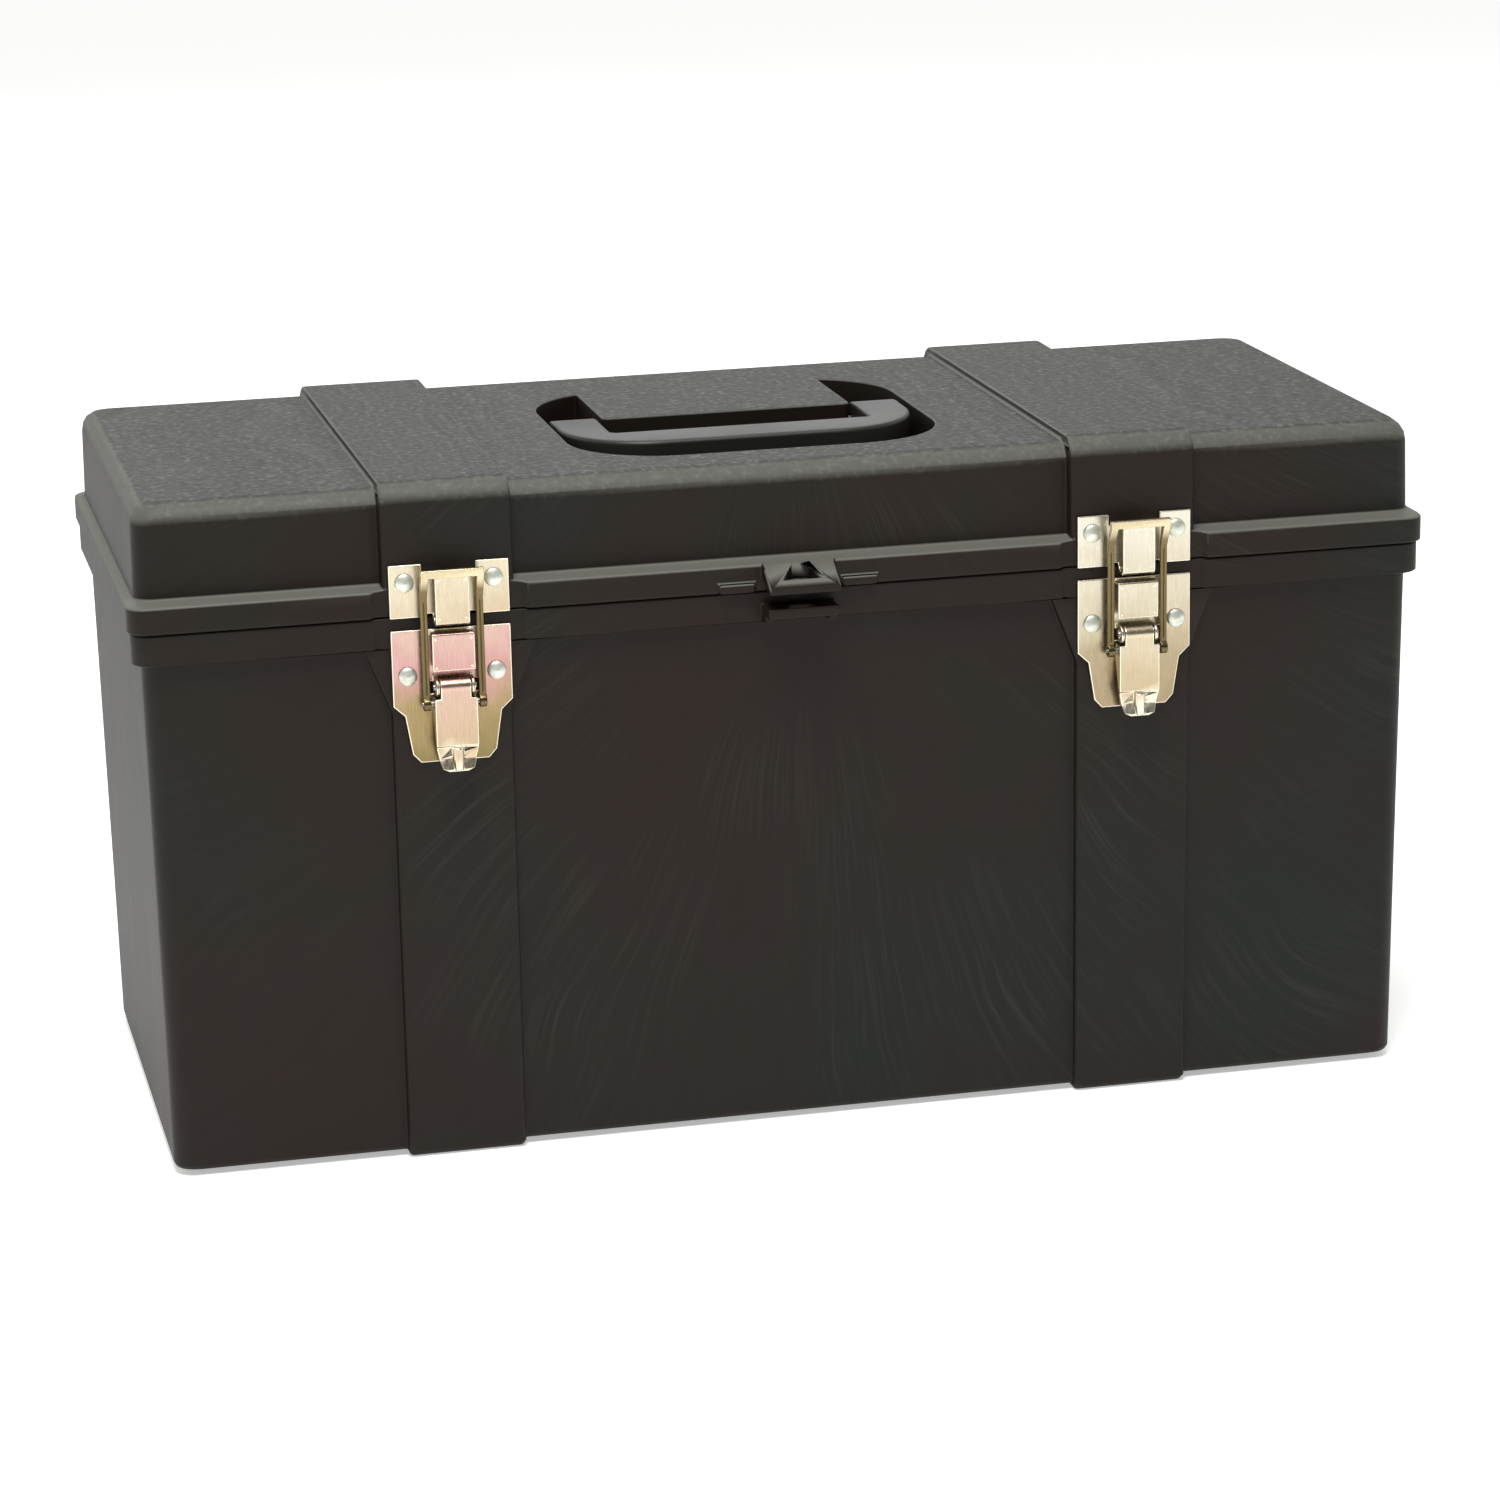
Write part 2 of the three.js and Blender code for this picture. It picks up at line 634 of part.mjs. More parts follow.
function tray() {
  const rimX = rimLength / 2 - bodyInset - wall - trayClearance;
  const rimY = rimWidth / 2 - bodyInset - wall - trayClearance;
  const low = trayTopZ - trayDepth;
  const bucket = (z, by) => ({
    z,
    x: rimX - trayRim - by,
    y: rimY - trayRim / 2 - by,
    r: trayCorner - 0.5 * by,
  });
  const outer = loft([bucket(low, trayTaper), bucket(trayTopZ - 1, 0)], 4);
  const rim = loft(
    [
      { z: trayTopZ - trayRimThickness, x: rimX, y: rimY, r: trayCorner },
      { z: trayTopZ, x: rimX, y: rimY, r: trayCorner },
    ],
    4,
  );
  const hollow = loft(
    [bucket(low + trayWall, trayTaper + trayWall), bucket(trayTopZ + 1, trayWall)],
    4,
  );
  const half = trayWall / 2;
  const inner = { x: rimX - trayRim - 1, y: rimY - trayRim / 2 - 1 };
  const along = block(
    [-inner.x, inner.x],
    [dividerOffset - half, dividerOffset + half],
    [low + 1, trayTopZ - longDividerDrop],
  );
  const shortX = [-inner.x / 2, 0, inner.x / 2];
  const across = shortX.map((x) =>
    block([x - half, x + half], [dividerOffset, inner.y], [low + 1, trayTopZ - shortDividerDrop]),
  );
  const dividers = union([along, ...across]).intersect(outer);
  const withGrip = union([outer.add(rim).subtract(hollow), dividers, trayGrip(low)]);
  return withGrip.subtract(trayGripOpening());
}

// The grip moulded on the long divider: an arch that rises above the tray.
function trayGrip(low) {
  const half = trayGripLength / 2;
  const top = trayTopZ + trayGripRise;
  const arch = shapeOf([
    [-half, low + 1],
    [half, low + 1],
    [half, trayTopZ - 2],
    [half - trayGripShoulder, top - 3],
    [half - trayGripShoulder - 5, top],
    [trayGripShoulder + 5 - half, top],
    [trayGripShoulder - half, top - 3],
    [-half, trayTopZ - 2],
  ]);
  return trayGripSlab(arch, trayGripThickness);
}

// The finger hole through the grip and the long divider.
function trayGripOpening() {
  const half = trayGripLength / 2 - trayGripCheek;
  const high = trayTopZ + trayGripRise - trayGripBar;
  const low = high - trayGripHole;
  const corner = trayGripHole / 4;
  const hole = shapeOf([
    [-half, low],
    [half, low],
    [half, high - corner],
    [half - corner, high],
    [corner - half, high],
    [-half, high - corner],
  ]);
  return trayGripSlab(hole, trayGripThickness + 2);
}

function trayGripSlab(outline, thickness) {
  const slab = new THREE.ExtrudeGeometry(outline, { depth: thickness, bevelEnabled: false });
  return solidOf(slab.rotateX(Math.PI / 2).translate(0, dividerOffset + thickness / 2, 0));
}

// ---- Draw latch, in its own frame: x from its middle, y = -u, z from the parting plane ----

const sheet = [gap, gap + plateThickness];
const stripInner = leverHalfWidth + bailSide;
const stripOuter = stripInner + bailLegWidth;
const tongueHalfWidth = stripInner - 2.7;
const bridgeHalfWidth = stripInner - 1.1;

function rivetHoles(z) {
  return [-rivetX, rivetX].map((x) =>
    solidOf(
      new THREE.CylinderGeometry(rivetShank + pinClearance, rivetShank + pinClearance, 8, 14),
    ).translate([x, 0, z]),
  );
}

const yOfU = (profile) => profile.map(([u, z]) => [-u, z]);

// The keeper on the lid: two riveted ears and a raised tongue bent up from between them.
function keeper() {
  const half = plateHalfWidth;
  const strap = plate(
    [
      [-half, keeperBottom],
      [-earInner, keeperBottom],
      [-earInner, strapBottom],
      [earInner, strapBottom],
      [earInner, keeperBottom],
      [half, keeperBottom],
      [half, keeperTop],
      [earInner, keeperTop],
      [earInner, strapTop],
      [-earInner, strapTop],
      [-earInner, keeperTop],
      [-half, keeperTop],
    ],
    sheet,
  );
  const face = tongueOut - plateThickness;
  const tongue = run(
    yOfU([
      [gap, 6],
      [gap + plateThickness, 6],
      [gap + plateThickness, 0.2],
      [2.8, tongueBottom + plateThickness],
      [face - 0.6, tongueBottom + plateThickness],
      [face, tongueBottom + plateThickness + 0.6],
      [face, tongueTop - 1],
      [face + 0.5 * plateThickness, tongueTop],
      [tongueOut, tongueTop - 1],
      [tongueOut, tongueBottom + 1.6],
      [tongueOut - 1.6, tongueBottom],
      [2.2, tongueBottom],
      [gap, -0.4],
    ]),
    [-tongueHalfWidth, tongueHalfWidth],
  );
  return cut(strap.add(tongue), rivetHoles(keeperRivetZ));
}

// The base on the body: a riveted shield with a raised bridge and two ears for the lever's pin.
function base() {
  const half = plateHalfWidth;
  const shield = plate(
    [
      [-half, baseTop],
      [-half, shoulderZ],
      [-shoulder, shoulderZ - 4],
      [-shoulder + 2.4, baseBottom + 3.4],
      [-foot, baseBottom],
      [foot, baseBottom],
      [shoulder - 2.4, baseBottom + 3.4],
      [shoulder, shoulderZ - 4],
      [half, shoulderZ],
      [half, baseTop],
    ],
    sheet,
  );
  const skin = plateThickness;
  const bridge = run(
    yOfU([
      [gap, bridgeTop],
      [bridgeOut - 1, bridgeTop],
      [bridgeOut, bridgeTop - 1],
      [bridgeOut, bridgeBottom],
      [bridgeOut - skin, bridgeBottom],
      [bridgeOut - skin, bridgeTop - skin],
      [gap, bridgeTop - skin],
    ]),
    [-bridgeHalfWidth, bridgeHalfWidth],
  );
  const { u, z } = leverPivot;
  const earInnerX = barrelHalfWidth + 0.4;
  const earRadius = barrelRadius + 0.2;
  const ears = [-1, 1].map((side) => {
    const span = spanOf(side, earInnerX, earInnerX + plateThickness);
    const stem = block(span, [-u, -gap], [z - earRadius, z + earRadius]);
    return stem.add(bar(earRadius, span, -u, z, 20));
  });
  const bore = bar(leverPinRadius + pinClearance, [-20, 20], -u, z, 16);
  const windows = [-1, 1].map((side) => {
    const span = spanOf(side, earInnerX + plateThickness, stripInner + 1);
    return block(span, [-sheet[1] - 1, 0], [z - 3.4, z + 1.4]);
  });
  const stamped = cut(union([shield, bridge, ...ears]), [bore, ...windows]);
  return cut(stamped, rivetHoles(baseRivetZ));
}

// The lever: a rolled barrel on the pin, a flanged plate below it and a curled finger tip.
function lever() {
  const { u, z } = leverPivot;
  const outer = u + barrelRadius - 0.3;
  const faceSpan = [-outer, -(outer - leverSheet)];
  const plateTop = z - 4.2;
  const barrel = bar(barrelRadius, [-barrelHalfWidth, barrelHalfWidth], -u, z, 24);
  const neck = block([-barrelHalfWidth, barrelHalfWidth], faceSpan, [plateTop - 1, z]);
  const face = block([-leverHalfWidth, leverHalfWidth], faceSpan, [leverEnd, plateTop]);
  const flanges = [-1, 1].map((side) => {
    const span = spanOf(side, leverHalfWidth - leverFlange, leverHalfWidth);
    const flange = yOfU([
      [outer - 0.2, plateTop],
      [bailPivot.u - 2.6, plateTop],
      [bailPivot.u - 2.6, bailPivot.z - 2.6],
      [outer - 2.4, leverEnd + 1],
      [outer - 0.2, leverEnd + 1],
    ]);
    return run(flange, span);
  });
  const fingerSide = run(
    yOfU([
      [outer, leverEnd + 1],
      [outer - leverSheet, leverEnd + 1],
      [outer - leverSheet - 1.8, fingerEnd + 5],
      [outer - leverSheet - 1, fingerEnd],
      [outer + 0.4, fingerEnd],
      [outer + 0.6, fingerEnd + 1.4],
      [outer - 1.2, fingerEnd + 5],
    ]),
    [-fingerHalfWidth, fingerHalfWidth],
  );
  const fingerOutline = plate(
    [
      [-fingerHalfWidth, leverEnd + 2],
      [-fingerHalfWidth, leverEnd - 1],
      [-fingerTipHalf - 0.8, fingerEnd + 3.6],
      [-fingerTipHalf, fingerEnd + 1.2],
      [-fingerTipHalf + 2.4, fingerEnd],
      [fingerTipHalf - 2.4, fingerEnd],
      [fingerTipHalf, fingerEnd + 1.2],
      [fingerTipHalf + 0.8, fingerEnd + 3.6],
      [fingerHalfWidth, leverEnd - 1],
      [fingerHalfWidth, leverEnd + 2],
    ],
    [0, 2 * outer],
  );
  const finger = fingerSide.intersect(fingerOutline);
  const ridge = solidOf(new THREE.CylinderGeometry(fingerRidge, fingerRidge, leverEnd - fingerEnd - 1.5, 14))
    .rotate([90, 0, 0])
    .translate([0, -(outer - 0.7), (leverEnd + fingerEnd) / 2]);
  const body = union([barrel, neck, face, ...flanges, finger, ridge]);
  const bores = [
    bar(leverPinRadius + pinClearance, [-20, 20], -u, z, 16),
    bar(bailPinRadius + pinClearance, [-20, 20], -bailPivot.u, bailPivot.z, 14),
  ];
  return cut(body, bores);
}

// The bail: two upright legs on the lever's bail pin, bent outwards to a bar across the tongue's front.
function bail() {
  const { u, z } = bailPivot;
  const top = tongueTop + crossbarOverTop;
  const out = tongueFace + crossbarThickness;
  const half = bailSheet / 2;
  const profile = yOfU([
    [u - half, z],
    [u - half, top - bailBend],
    [tongueFace, top - crossbarHeight / 2],
    [tongueFace, top],
    [out - 0.8, top],
    [out, top - 0.8],
    [out, top - crossbarHeight],
    [u + half, top - bailBend - 1],
    [u + half, z],
  ]);
  const legs = [-1, 1].map((side) => {
    const span = spanOf(side, stripInner, stripOuter);
    return run(profile, span).add(bar(bailEye, span, -u, z, 20));
  });
  const crossbar = block(
    [-stripOuter, stripOuter],
    [-out, -tongueFace],
    [top - crossbarHeight, top],
  );
  return cut(union([...legs, crossbar]), [bar(bailPinRadius + pinClearance, [-20, 20], -u, z, 14)]);
}

// A rivet through plate and wall: a domed head outside, a flat tail inside.
function rivet(wallDepth) {
  const seat = sheet[1] + gap;
  const tail = -wallDepth - gap;
  const profile = [
    [0, tail - rivetTailHeight],
    [rivetTail, tail - rivetTailHeight],
    [rivetTail, tail],
    [rivetShank, tail],
    [rivetShank, seat],
    [rivetHead, seat],
    [0.94 * rivetHead, seat + 0.45 * rivetHeight],
    [0.7 * rivetHead, seat + 0.8 * rivetHeight],
    [0.35 * rivetHead, seat + 0.97 * rivetHeight],
    [0, seat + rivetHeight],
  ].map(([r, along]) => new THREE.Vector2(r, along));
  return solidOf(new THREE.LatheGeometry(profile, 18).rotateX(Math.PI));
}

// ---- The whole box ----

const box = new THREE.Group();
box.position.y = (frontOut - backOut) / 2;

function place(name, solid, material, parent = box, position = [0, 0, 0]) {
  const mesh = new THREE.Mesh(geometryOf(solid), material);
  mesh.name = name;
  mesh.position.set(...position);
  parent.add(mesh);
}

place("body_shell", bodyShell(), finish.foam);
place("lid_shell", lidShell(), finish.foam);
place("lift_out_tray", tray(), finish.tray);
place("carry_handle", carryHandle(), finish.handle);

const hingePin = bar(
  hingePinRadius,
  [-1.5 * knuckleLength - knuckleGap, 1.5 * knuckleLength + knuckleGap],
  hingeY,
  hingeZ,
  16,
);
const keeperWall = bandPlane - (rimWidth / 2 - lidSideInset - wall);
const baseWall =
  bandPlane - (rimWidth / 2 - bodyInset - wall) + (bodyDraft * -baseRivetZ) / bodyDepth;

for (const [side, label] of [
  [-1, "left"],
  [1, "right"],
]) {
  place("handle_pin_" + label, handlePin(side), finish.pin);
  place("hinge_pin_" + label, hingePin, finish.pin, box, [side * bandX, 0, 0]);

  const latch = new THREE.Group();
  latch.position.set(side * bandX, -bandPlane, partingZ);
  box.add(latch);
  const lidRivet = rivet(keeperWall + 0.5);
  const bodyRivet = rivet(baseWall + 0.3);
  place("latch_keeper_" + label, keeper(), finish.plated, latch);
  place("latch_base_" + label, base(), finish.plated, latch);
  place("latch_lever_" + label, lever(), finish.plated, latch);
  place("latch_bail_" + label, bail(), finish.plated, latch);
  const { u, z } = leverPivot;
  const leverPin = bar(leverPinRadius, [1 - stripInner, stripInner - 1], -u, z, 16);
  const bailPin = bar(bailPinRadius, [-stripOuter - 0.4, stripOuter + 0.4], -bailPivot.u, bailPivot.z, 14);
  place("lever_pin_" + label, leverPin, finish.pin, latch);
  place("bail_pin_" + label, bailPin, finish.pin, latch);
  for (const [x, hand] of [
    [-rivetX, "a"],
    [rivetX, "b"],
  ]) {
    place("keeper_rivet_" + label + "_" + hand, lidRivet, finish.rivet, latch, [x, 0, keeperRivetZ]);
    place("base_rivet_" + label + "_" + hand, bodyRivet, finish.rivet, latch, [x, 0, baseRivetZ]);
  }
}

export default box;
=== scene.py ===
import math

import bmesh
import bpy
from mathutils import Matrix, Vector


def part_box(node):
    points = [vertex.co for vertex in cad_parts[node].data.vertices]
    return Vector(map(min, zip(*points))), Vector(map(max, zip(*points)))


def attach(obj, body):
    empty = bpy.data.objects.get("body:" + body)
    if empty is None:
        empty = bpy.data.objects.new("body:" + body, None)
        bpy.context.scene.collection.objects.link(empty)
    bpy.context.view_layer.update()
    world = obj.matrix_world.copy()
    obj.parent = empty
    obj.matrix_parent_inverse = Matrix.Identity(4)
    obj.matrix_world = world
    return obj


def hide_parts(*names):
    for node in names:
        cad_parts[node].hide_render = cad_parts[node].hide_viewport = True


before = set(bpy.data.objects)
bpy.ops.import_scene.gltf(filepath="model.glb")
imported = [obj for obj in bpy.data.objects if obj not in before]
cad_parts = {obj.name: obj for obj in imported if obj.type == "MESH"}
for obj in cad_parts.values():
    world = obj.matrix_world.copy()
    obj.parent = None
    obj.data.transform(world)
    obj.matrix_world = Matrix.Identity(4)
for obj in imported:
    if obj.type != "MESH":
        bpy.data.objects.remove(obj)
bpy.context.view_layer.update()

MM = 0.001

# ---- Body shell ----
# The lower half of the box: one deep tub of structural-foam polypropylene, injection moulded with
# its bands, rim, tray ledges and hinge knuckles. The gas in the melt leaves swirls on the surface.

EDGE_RADIUS = 0.8 * MM  # how far the mould rounds an outside edge
BODY_GATE_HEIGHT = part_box("body_shell")[1][2] + 30 * MM  # the melt spreads from above the rim's middle


def add(tree, kind, inputs=None, **settings):
    """Adds a node to a tree, with its settings, and its inputs as values or as sockets to link."""
    made = tree.nodes.new(kind)
    for name, value in settings.items():
        setattr(made, name, value)
    for name, value in (inputs or {}).items():
        if isinstance(value, bpy.types.NodeSocket):
            tree.links.new(value, made.inputs[name])
        else:
            made.inputs[name].default_value = value
    return made


def colour(hex_code):
    """A hex colour as a linear RGBA tuple."""
    channels = [int(hex_code[i : i + 2], 16) / 255 for i in (1, 3, 5)]
    return (*(c / 12.92 if c <= 0.04045 else ((c + 0.055) / 1.055) ** 2.4 for c in channels), 1)


def ramp(tree, factor, stops, interpolation="LINEAR"):
    """A colour ramp through (place, linear colour) stops; gives its colour socket."""
    made = add(tree, "ShaderNodeValToRGB", {"Fac": factor})
    made.color_ramp.interpolation = interpolation
    for element, (place, shade) in zip(made.color_ramp.elements, (stops[0], stops[-1])):
        element.position = place
        element.color = shade
    for place, shade in stops[1:-1]:
        made.color_ramp.elements.new(place).color = shade
    return made.outputs["Color"]


def new_material(name):
    """An empty material: its tree, its Principled shader and its object coordinates."""
    made = bpy.data.materials.new(name)
    made.use_nodes = True
    tree = made.node_tree
    shader = tree.nodes["Principled BSDF"]
    place = add(tree, "ShaderNodeTexCoord")
    return made, tree, shader, place


def maths(tree, operation, *values):
    """A Math node; gives its value socket."""
    return add(tree, "ShaderNodeMath", dict(enumerate(values)), operation=operation).outputs[0]


def foam_polypropylene(name, gate_height, grained_above=None):
    """Structural-foam polypropylene, injection moulded: near-black, dull, with faint pale streaks
    that fan out from the gate. Faces that look up, above the given height, have the mould's etched
    pebble, with paler flecks painted on its grains as a painted sheen."""
    made, tree, shader, place = new_material(name)
    at = place.outputs["Object"]
    x, y, z = add(tree, "ShaderNodeSeparateXYZ", {0: at}).outputs
    facing = add(tree, "ShaderNodeSeparateXYZ", {0: place.outputs["Normal"]}).outputs
    on_end = maths(tree, "GREATER_THAN", maths(tree, "ABSOLUTE", facing[0]), 0.6)
    along = maths(tree, "ADD", maths(tree, "MULTIPLY", x, maths(tree, "SUBTRACT", 1.0, on_end)),
                  maths(tree, "MULTIPLY", y, on_end))
    drop = maths(tree, "SUBTRACT", gate_height, z)
    wander = add(tree, "ShaderNodeTexNoise", {"Vector": at, "Scale": 7.0, "Detail": 2.0}).outputs[0]
    fan = maths(tree, "ADD", maths(tree, "ARCTAN2", along, drop), maths(tree, "MULTIPLY", wander, 0.22))
    reach = maths(tree, "SQRT", maths(tree, "ADD", maths(tree, "POWER", along, 2.0),
                                      maths(tree, "POWER", drop, 2.0)))
    # Streaks are 1 to 2 mm wide and 30 to 60 mm long, and come and go in patches.
    lines = add(tree, "ShaderNodeCombineXYZ", {
        0: maths(tree, "MULTIPLY", fan, 90.0),
        1: maths(tree, "MULTIPLY", reach, 14.0),
        2: maths(tree, "MULTIPLY", on_end, 7.0),
    }).outputs[0]
    streak = add(tree, "ShaderNodeTexNoise", {
        "Vector": lines, "Scale": 1.0, "Detail": 5.0, "Roughness": 0.65, "Distortion": 0.15,
    }).outputs[0]
    patch = add(tree, "ShaderNodeTexNoise", {"Vector": at, "Scale": 14.0, "Detail": 2.0}).outputs[0]
    cloud = add(tree, "ShaderNodeTexNoise", {"Vector": at, "Scale": 7.0, "Detail": 3.0}).outputs[0]
    grit = add(tree, "ShaderNodeTexNoise", {"Vector": at, "Scale": 500.0, "Detail": 3.0}).outputs[0]
    base = ramp(tree, cloud, [
        (0.36, colour("#20150f")), (0.52, colour("#1c1711")), (0.66, colour("#171b14")),
    ])
    pale = ramp(tree, streak, [(0.50, colour("#000000")), (0.80, colour("#ffffff"))])
    shown = ramp(tree, patch, [(0.46, colour("#000000")), (0.66, colour("#ffffff"))])
    swirled = add(tree, "ShaderNodeMix", {
        0: maths(tree, "MULTIPLY", maths(tree, "MULTIPLY", pale, shown), 0.6),
        6: base, 7: colour("#38352e"),
    }, data_type="RGBA").outputs[2]
    relief = maths(tree, "ADD", maths(tree, "MULTIPLY", streak, 0.12), maths(tree, "MULTIPLY", grit, 0.6))
    shade = swirled
    if grained_above is not None:
        high = maths(tree, "GREATER_THAN", z, grained_above)
        up = ramp(tree, facing[2], [(0.05, colour("#000000")), (0.60, colour("#ffffff"))])
        grained = maths(tree, "MULTIPLY", up, high)
        # The pebble's grains are about 2.6 mm across, coarser than real ones so that they show.
        pebble = add(tree, "ShaderNodeTexNoise",
                     {"Vector": at, "Scale": 380.0, "Detail": 3.0, "Roughness": 0.6}).outputs[0]
        raised = maths(tree, "MULTIPLY", maths(tree, "MULTIPLY", pebble, grained), 1.7)
        relief = maths(tree, "ADD", relief, raised)
        # The paler flecks are partly the pebble's own tone and partly a painted sheen on its raised grains.
        pebble_tone_and_sheen = ramp(tree, pebble, [
            (0.38, colour("#1a1a16")), (0.54, colour("#2c2c27")), (0.70, colour("#565650")),
        ])
        shade = add(tree, "ShaderNodeMix", {0: grained, 6: swirled, 7: pebble_tone_and_sheen}, data_type="RGBA").outputs[2]
        # The crown's rounded edge and the ledge on the flange are painted paler: a painted highlight where
        # the light from above catches them.
        turning = ramp(tree, facing[2], [
            (0.12, colour("#000000")), (0.45, colour("#ffffff")),
            (0.90, colour("#ffffff")), (0.99, colour("#000000")),
        ])
        ledge = maths(tree, "MULTIPLY", up, maths(tree, "SUBTRACT", 1.0, high))
        painted_sheen = maths(tree, "MAXIMUM", maths(tree, "MULTIPLY", maths(tree, "MULTIPLY", turning, high), 0.55),
                       maths(tree, "MULTIPLY", ledge, 0.8))
        shade = add(tree, "ShaderNodeMix", {
            0: painted_sheen, 6: shade, 7: colour("#6f6f68"),
        }, data_type="RGBA").outputs[2]
    tree.links.new(shade, shader.inputs["Base Color"])
    bump = add(tree, "ShaderNodeBump", {"Height": relief, "Strength": 0.5, "Distance": 0.25 * MM})
    tree.links.new(bump.outputs[0], shader.inputs["Normal"])
    dull = add(tree, "ShaderNodeMapRange",
               {0: streak, 1: 0.3, 2: 0.8, 3: 0.58, 4: 0.48}).outputs[0]
    tree.links.new(dull, shader.inputs["Roughness"])
    shader.inputs["Specular IOR Level"].default_value = 0.24
    shader.inputs["IOR"].default_value = 1.49
    return made


SQUARE = math.cos(math.radians(3))  # a face this square to an axis is flat, not part of a curve


def rounded_copy(node, piece_name, radius, sharpest=58, segments=2, cuts=(), press=None, edge_material=-1):
    """A copy of a frame node as one mesh whose edges, where they turn by more than `sharpest`
    degrees, are rounded to the given radius. `cuts` are the (place, direction) of planes that part
    its faces, and `press` shapes them. The rounded edges take the material at `edge_material`."""
    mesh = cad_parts[node].data.copy()
    mesh.name = piece_name
    mesh.materials.clear()
    mesh.materials.append(None)
    mesh.materials.append(None)
    shape = bmesh.new()
    shape.from_mesh(mesh)
    bmesh.ops.remove_doubles(shape, verts=shape.verts, dist=0.004 * MM)
    bmesh.ops.dissolve_degenerate(shape, edges=shape.edges, dist=0.01 * MM)
    # A flat with a hole in it folds over itself when it is rounded, so cuts part it at its holes.
    for place, facing in cuts:
        whole = shape.verts[:] + shape.edges[:] + shape.faces[:]
        parted = bmesh.ops.bisect_plane(shape, geom=whole, dist=0.001 * MM, plane_co=place, plane_no=facing)
        for edge in parted["geom_cut"]:
            if isinstance(edge, bmesh.types.BMEdge):
                edge.seam = True
    bmesh.ops.dissolve_limit(shape, angle_limit=math.radians(0.6), verts=shape.verts, edges=shape.edges,
                             delimit={"SEAM"})
    if press:
        press(shape)
        # A stamped flat with a slot in it rounds cleanly once it is in triangles.
        stamped = [f for f in shape.faces if len(f.verts) > 4 and max(abs(n) for n in f.normal) > SQUARE]
        bmesh.ops.triangulate(shape, faces=stamped, ngon_method="BEAUTY")
    edges = [
        e for e in shape.edges
        if len(e.link_faces) == 2 and e.calc_face_angle() > math.radians(sharpest)
        and min(f.calc_area() for f in e.link_faces) > 1.5 * radius * radius
    ]
    bmesh.ops.bevel(shape, geom=edges, offset=radius, segments=segments, profile=0.5, affect="EDGES",
                    clamp_overlap=False, miter_outer="SHARP", material=edge_material)
    shape.to_mesh(mesh)
    shape.free()
    piece = bpy.data.objects.new(piece_name, mesh)
    bpy.context.collection.objects.link(piece)
    return finish_shading(piece)


FLATNESS = "__mod_weightednormals_faceweight"  # the name under which Blender keeps a face's strength
STRONG = 16384  # Blender's own number for a face whose normal its corners take; its negative is weak


def finish_shading(piece, sharp=46):
    """Smooth shading that keeps flat faces flat and leaves edges over `sharp` degrees hard."""
    mesh = piece.data
    for face in mesh.polygons:
        face.use_smooth = True
    mesh.set_sharp_from_angle(angle=math.radians(sharp))
    # Square flats keep their own normals, and the rounded edges blend into them.
    strength = mesh.attributes.new(FLATNESS, "INT", "FACE")
    strength.data.foreach_set("value", [
        STRONG if max(abs(n) for n in face.normal) > SQUARE else -STRONG for face in mesh.polygons
    ])
    weigh = piece.modifiers.new("weighted normals", "WEIGHTED_NORMAL")
    weigh.keep_sharp = True
    weigh.use_face_influence = True
    weigh.weight = 80
    done = bpy.data.meshes.new_from_object(piece.evaluated_get(bpy.context.evaluated_depsgraph_get()))
    piece.modifiers.clear()
    if FLATNESS in done.attributes:
        done.attributes.remove(done.attributes[FLATNESS])
    done.name = piece.name
    piece.data = done
    return piece


def wear(piece, material, edge_material=None):
    """Gives a piece its material, and its rounded edges one of their own if there is one."""
    while len(piece.data.materials) > (2 if edge_material else 1):
        piece.data.materials.pop()
    piece.data.materials[0] = material
    if edge_material:
        piece.data.materials[1] = edge_material


body_foam = foam_polypropylene("structural-foam polypropylene, swirled", BODY_GATE_HEIGHT)
SIDES = ("left", "right")
MIDDLE_CUTS = [((0, 0, 0), (1, 0, 0)), ((0, 0, 0), (0, 1, 0))]
RIVET_CUTS = [
    ((Vector(low) + Vector(high)) / 2, (1, 0, 0))
    for low, high in (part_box(f"keeper_rivet_{side}_{hand}") for side in SIDES for hand in "ab")
]
body = rounded_copy("body_shell", "body_tub", EDGE_RADIUS, cuts=MIDDLE_CUTS + RIVET_CUTS)
wear(body, body_foam)
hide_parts("body_shell")
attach(body, "body")

# ---- Hinge pins, and how every pin is made ----
# Two lengths of drawn steel rod, pushed through the knuckles of body and lid at the back of each
# band. Their ends are tumbled round.

PIN_RINGS = 40
PIN_SIDES = 28
PIN_END_ROUND = 0.34  # how far a pin's end rounds off, as a share of its radius


